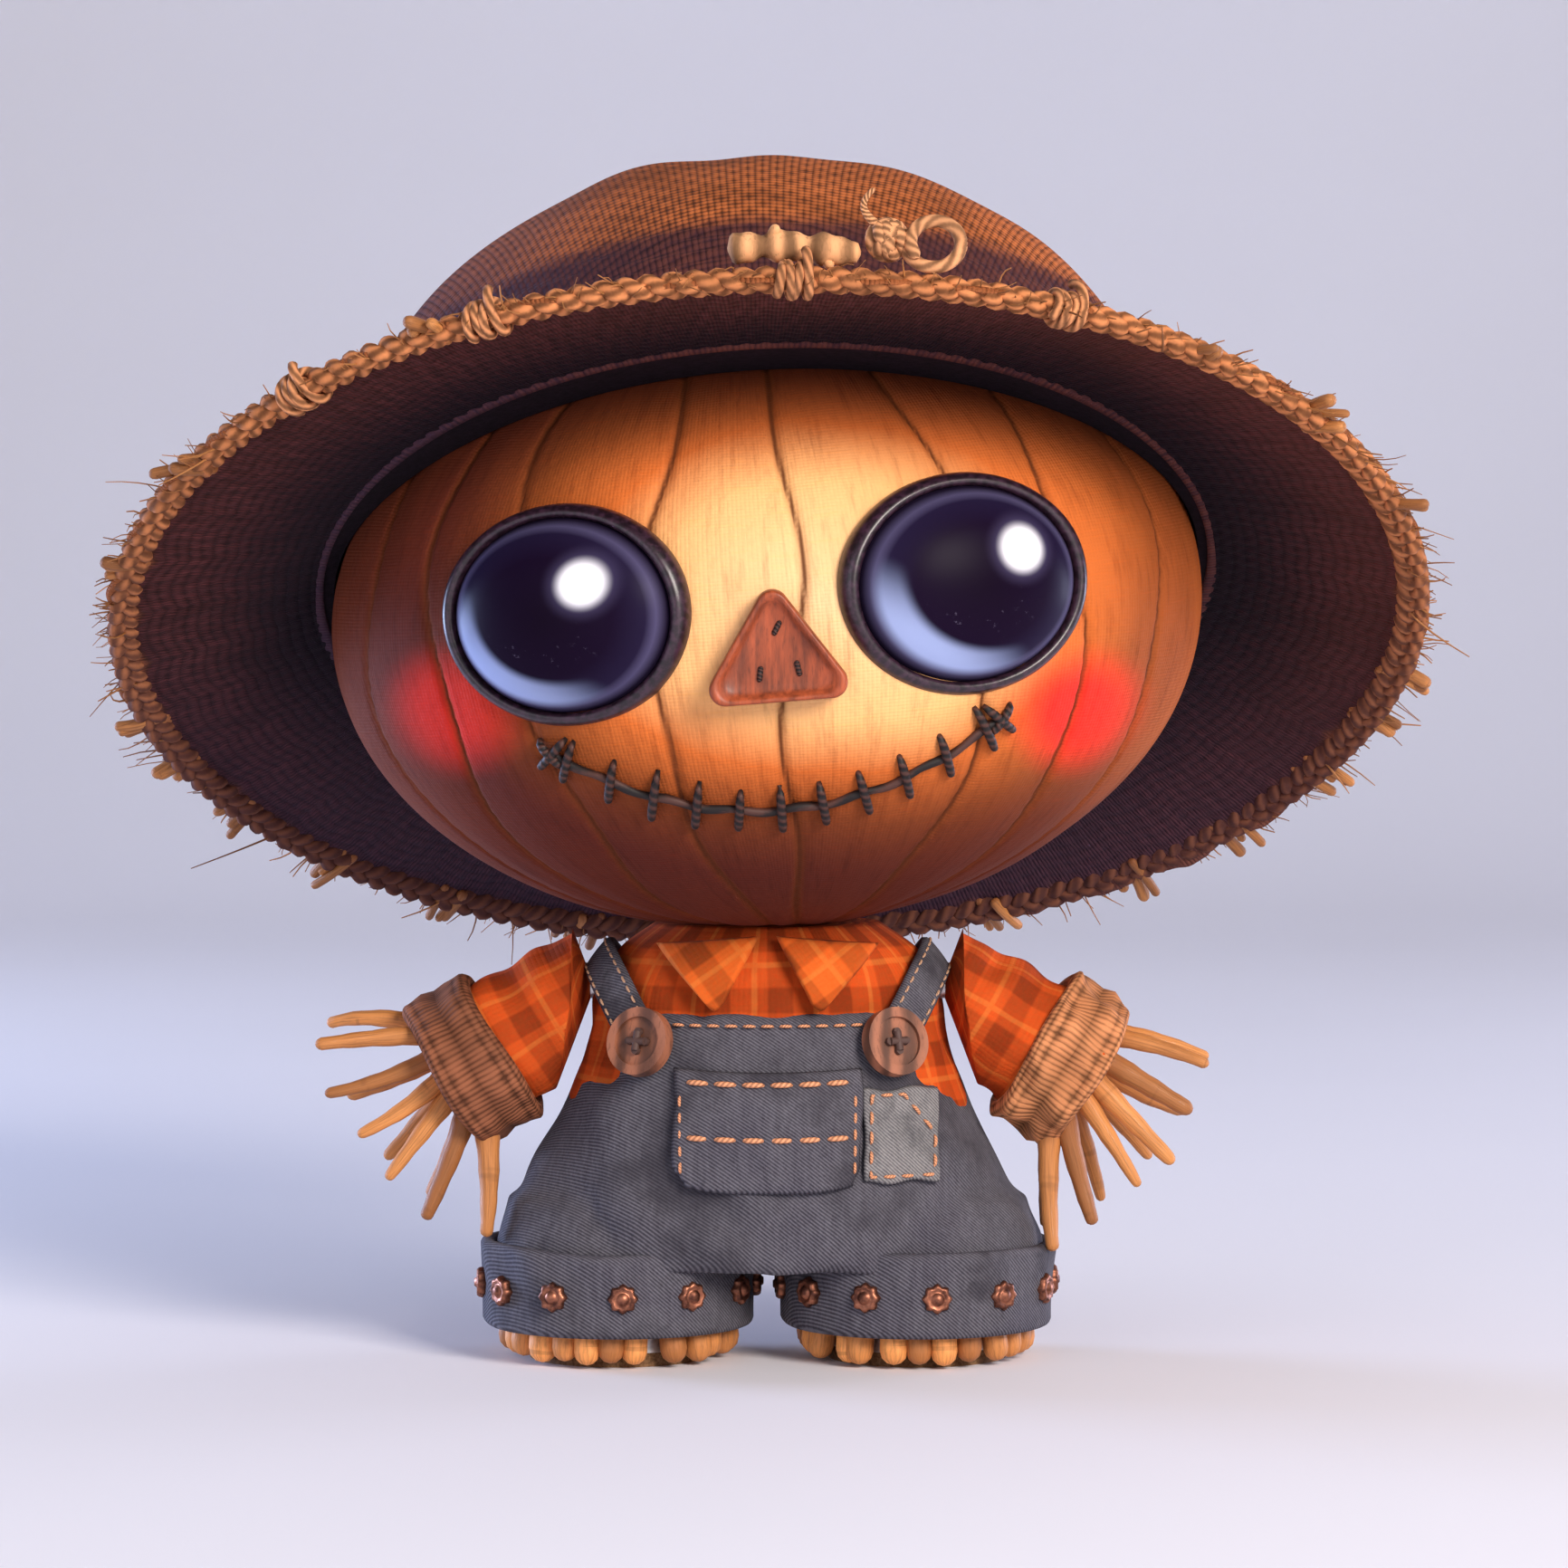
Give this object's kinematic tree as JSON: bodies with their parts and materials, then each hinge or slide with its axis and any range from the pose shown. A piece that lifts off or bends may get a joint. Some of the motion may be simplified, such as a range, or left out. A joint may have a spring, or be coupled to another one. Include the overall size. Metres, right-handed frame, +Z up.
{
  "type": "scarecrow figure",
  "caption": "Standing stuffed scarecrow figure with a large turning head, wide tilted hat, bib overalls, and arms that swing on disc joints.",
  "frame": {"origin": "on the table under the middle of the figure's outline, at the underside of the soles", "axes": "+Z up, the face looks along -Y, the figure's own left side is at +X"},
  "size_m": [0.2923, 0.2473, 0.2661],
  "materials": {
    "burlap_skin": "woven cloth, tan orange, darker towards the edges",
    "stuffing": "wadding",
    "eye_gloss": "polished black",
    "eye_rim": "dark felt",
    "washer_plastic": "moulded",
    "nose_wood": "oiled, bevelled",
    "dark_thread": "waxed thread",
    "hat_burlap": "coarse burlap",
    "brim_straw": "plaited straw, dark underneath",
    "rim_braid": "twisted jute",
    "band_cloth": "ribbed ribbon",
    "hat_wadding": "dark felt",
    "straw": "dry straw",
    "twig_wood": "bark off",
    "hardboard": "pressed board",
    "zinc_steel": "zinc plated",
    "plaid": "orange plaid cotton",
    "denim": "washed grey denim",
    "denim_light": "faded grey denim",
    "cuff_denim": "grey denim, turned up",
    "copper_stud": "aged copper",
    "sleeve_roll": "rolled cotton",
    "button_wood": "turned wood",
    "button_thread": "cotton thread"
  },
  "bodies": {
    "trunk": {"bib_patch": "denim_light", "bib_pocket": "denim", "button_threads": "button_thread", "collar_left": "plaid", "collar_right": "plaid", "cuff_studs": "copper_stud", "foot_straw_left": "straw", "foot_straw_right": "straw", "leg_stuffing_left": "stuffing", "leg_stuffing_right": "stuffing", "leg_weights": "zinc_steel", "neck_bolt": "zinc_steel", "neck_disc_lower": "hardboard", "neck_locknut": "zinc_steel", "overalls": "denim", "shirt": "plaid", "shoulder_bolts": "zinc_steel", "shoulder_discs": "hardboard", "shoulder_locknuts": "zinc_steel", "sole_left": "hardboard", "sole_right": "hardboard", "strap_buttons": "button_wood", "strap_left": "denim", "strap_right": "denim", "trouser_cuff_left": "cuff_denim", "trouser_cuff_right": "cuff_denim", "trunk_stuffing": "stuffing"},
    "head": {"head_cover": "burlap_skin", "head_stuffing": "stuffing", "nose": "nose_wood", "mouth_stitches": "dark_thread", "mouth_thread": "dark_thread", "hat_crown": "hat_burlap", "hat_brim": "brim_straw", "rim_cord": "rim_braid", "rim_ties": "rim_braid", "hat_band": "band_cloth", "hat_sweatband": "hat_wadding", "brim_straws": "straw", "hat_twig": "twig_wood", "hat_knot": "rim_braid", "neck_disc_upper": "hardboard", "neck_washer": "zinc_steel", "eye_left": "eye_gloss", "eye_right": "eye_gloss", "eye_rim_left": "eye_rim", "eye_rim_right": "eye_rim", "eye_washers": "washer_plastic"},
    "arm_left": {"sleeve_left": "plaid", "arm_disc_left": "hardboard", "arm_stuffing_left": "stuffing", "sleeve_cuff_left": "sleeve_roll", "hand_straw_left": "straw"},
    "arm_right": {"sleeve_right": "plaid", "arm_disc_right": "hardboard", "arm_stuffing_right": "stuffing", "sleeve_cuff_right": "sleeve_roll", "hand_straw_right": "straw"}
  },
  "joints": [
    {"name": "head_turn", "type": "hinge", "parent": "trunk", "child": "head", "pos_m": [0, 0, 0.097], "axis": [0, 0, 1], "continuous": true},
    {"name": "left_arm_swing", "type": "hinge", "parent": "trunk", "child": "arm_left", "pos_m": [0.038, 0, 0.082], "axis": [1, 0, 0], "range_deg": [-95, 60]},
    {"name": "right_arm_swing", "type": "hinge", "parent": "trunk", "child": "arm_right", "pos_m": [-0.038, 0, 0.082], "axis": [1, 0, 0], "range_deg": [-95, 60]}
  ]
}
